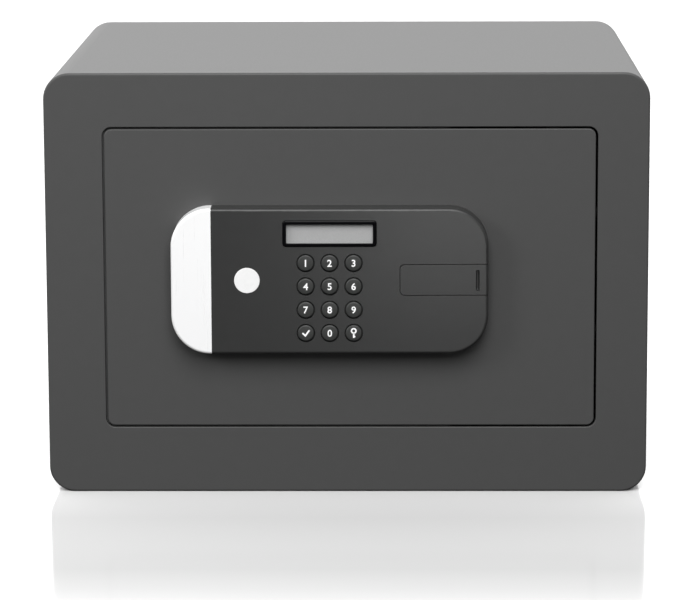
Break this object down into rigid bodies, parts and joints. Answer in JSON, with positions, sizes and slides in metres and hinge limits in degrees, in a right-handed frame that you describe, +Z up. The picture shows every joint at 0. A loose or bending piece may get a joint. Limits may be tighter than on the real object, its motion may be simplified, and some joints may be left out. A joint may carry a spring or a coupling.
{
  "type": "electronic safe",
  "caption": "Desk-size electronic safe: steel body, side-hinged door with keypad, display, end grip and sliding lock cover, motor-driven bolts inside.",
  "frame": {"origin": "centre of the steel body's underside, without the fascia that stands out in front", "axes": "+X to the right seen from the front, +Y to the rear (the door faces -Y), +Z up"},
  "size_m": [0.35, 0.3149, 0.247],
  "materials": {
    "painted_steel": "fine satin powder coat, dark neutral grey",
    "zinc_steel": "zinc-plated pressed steel, satin",
    "black_steel": "black-oxide finished steel, oiled",
    "bolt_steel": "bright nickel-plated turned steel",
    "dark_plastic": "fine-grained moulded plastic, charcoal",
    "bright_metal": "pale satin-bright metal",
    "gloss_black": "polished black plastic",
    "clear_window": "clear flat window",
    "lcd_grey": "blank grey liquid-crystal panel",
    "key_rubber": "fine matt rubber, charcoal",
    "white_enamel": "plain white enamelled disc",
    "board_green": "solder-masked circuit board",
    "black_plastic": "matt black moulded plastic",
    "white_plastic": "natural nylon",
    "brass": "turned brass",
    "cell_wrap": "plain printed film over steel cells",
    "carpet": "needle-felt lining, dark grey",
    "cable_jacket": "flexible jacket, black",
    "button_red": "moulded plastic, red"
  },
  "bodies": {
    "root": {"body_shell": "painted_steel", "front_frame": "painted_steel", "rear_panel": "painted_steel", "door_stop": "painted_steel", "bolt_keeper": "painted_steel", "hinge_brackets": "painted_steel", "floor_lining": "carpet"},
    "door": {"door_plate": "painted_steel", "door_pan": "painted_steel", "hinge_pins": "black_steel", "hinge_side_dogs": "black_steel", "bolt_guides": "white_plastic", "carriage_studs": "zinc_steel", "gearbox_housing": "black_plastic", "drive_motor": "zinc_steel", "motor_bracket": "zinc_steel", "anti_drill_plate": "zinc_steel", "lock_housing": "brass", "lock_nut": "zinc_steel", "battery_box": "black_plastic", "battery_cells": "cell_wrap", "battery_contacts": "zinc_steel", "rear_cover": "painted_steel", "rear_cover_screws": "zinc_steel", "control_board": "board_green", "board_pillars": "zinc_steel", "keypad_cable": "cable_jacket", "internal_leads": "cable_jacket", "fascia_housing": "dark_plastic", "grip_cap": "bright_metal", "fascia_screws": "zinc_steel", "badge_disc": "white_enamel", "display_bezel": "gloss_black", "display_window": "clear_window", "lcd_module": "lcd_grey", "keypad_board": "board_green", "key_membrane": "key_rubber"},
    "bolts": {"bolt_carriage": "zinc_steel", "locking_bolts": "bolt_steel", "bolt_nuts": "zinc_steel"},
    "pinion": {"drive_pinion": "white_plastic", "output_shaft": "zinc_steel"},
    "lock": {"lock_plug": "brass", "lock_cam": "zinc_steel", "cam_screw": "zinc_steel"},
    "cover": {"slide_cover": "dark_plastic"},
    "battery_lid": {"battery_cover": "black_plastic"},
    "code_button": {"code_button": "button_red"},
    "key_1_body": {"key_1": "key_rubber"},
    "key_2_body": {"key_2": "key_rubber"},
    "key_3_body": {"key_3": "key_rubber"},
    "key_4_body": {"key_4": "key_rubber"},
    "key_5_body": {"key_5": "key_rubber"},
    "key_6_body": {"key_6": "key_rubber"},
    "key_7_body": {"key_7": "key_rubber"},
    "key_8_body": {"key_8": "key_rubber"},
    "key_9_body": {"key_9": "key_rubber"},
    "key_confirm_body": {"key_confirm": "key_rubber"},
    "key_0_body": {"key_0": "key_rubber"},
    "key_program_body": {"key_program": "key_rubber"}
  },
  "joints": [
    {"name": "door_hinge", "type": "hinge", "parent": "root", "child": "door", "pos_m": [0.12, -0.142, 0.127], "axis": [0, 0, 1], "range_deg": [0, 105]},
    {"name": "bolt_slide", "type": "slide", "parent": "door", "child": "bolts", "axis": [-1, 0, 0], "range_m": [0, 0.018]},
    {"name": "pinion_turn", "type": "hinge", "parent": "door", "child": "pinion", "pos_m": [-0.044, -0.115, 0.118], "axis": [0, -1, 0], "range_deg": [0, 114.6]},
    {"name": "lock_turn", "type": "hinge", "parent": "door", "child": "lock", "pos_m": [0.045, -0.135, 0.12845], "axis": [0, -1, 0], "range_deg": [-90, 0]},
    {"name": "cover_slide", "type": "slide", "parent": "door", "child": "cover", "axis": [1, 0, 0], "range_m": [0, 0.032]},
    {"name": "battery_lid_slide", "type": "slide", "parent": "door", "child": "battery_lid", "axis": [1, 0, 0], "range_m": [0, 0.015]},
    {"name": "code_button_press", "type": "slide", "parent": "door", "child": "code_button", "axis": [0, -1, 0], "range_m": [0, 0.0012], "stiffness_N_per_m": 400},
    {"name": "press_key_1", "type": "slide", "parent": "door", "child": "key_1_body", "axis": [0, 1, 0], "range_m": [0, 0.001], "stiffness_N_per_m": 300},
    {"name": "press_key_2", "type": "slide", "parent": "door", "child": "key_2_body", "axis": [0, 1, 0], "range_m": [0, 0.001], "stiffness_N_per_m": 300},
    {"name": "press_key_3", "type": "slide", "parent": "door", "child": "key_3_body", "axis": [0, 1, 0], "range_m": [0, 0.001], "stiffness_N_per_m": 300},
    {"name": "press_key_4", "type": "slide", "parent": "door", "child": "key_4_body", "axis": [0, 1, 0], "range_m": [0, 0.001], "stiffness_N_per_m": 300},
    {"name": "press_key_5", "type": "slide", "parent": "door", "child": "key_5_body", "axis": [0, 1, 0], "range_m": [0, 0.001], "stiffness_N_per_m": 300},
    {"name": "press_key_6", "type": "slide", "parent": "door", "child": "key_6_body", "axis": [0, 1, 0], "range_m": [0, 0.001], "stiffness_N_per_m": 300},
    {"name": "press_key_7", "type": "slide", "parent": "door", "child": "key_7_body", "axis": [0, 1, 0], "range_m": [0, 0.001], "stiffness_N_per_m": 300},
    {"name": "press_key_8", "type": "slide", "parent": "door", "child": "key_8_body", "axis": [0, 1, 0], "range_m": [0, 0.001], "stiffness_N_per_m": 300},
    {"name": "press_key_9", "type": "slide", "parent": "door", "child": "key_9_body", "axis": [0, 1, 0], "range_m": [0, 0.001], "stiffness_N_per_m": 300},
    {"name": "press_key_confirm", "type": "slide", "parent": "door", "child": "key_confirm_body", "axis": [0, 1, 0], "range_m": [0, 0.001], "stiffness_N_per_m": 300},
    {"name": "press_key_0", "type": "slide", "parent": "door", "child": "key_0_body", "axis": [0, 1, 0], "range_m": [0, 0.001], "stiffness_N_per_m": 300},
    {"name": "press_key_program", "type": "slide", "parent": "door", "child": "key_program_body", "axis": [0, 1, 0], "range_m": [0, 0.001], "stiffness_N_per_m": 300}
  ],
  "couplings": [
    {"joint": "pinion_turn", "follows": "bolt_slide", "rad_per_m": 111.11}
  ]
}
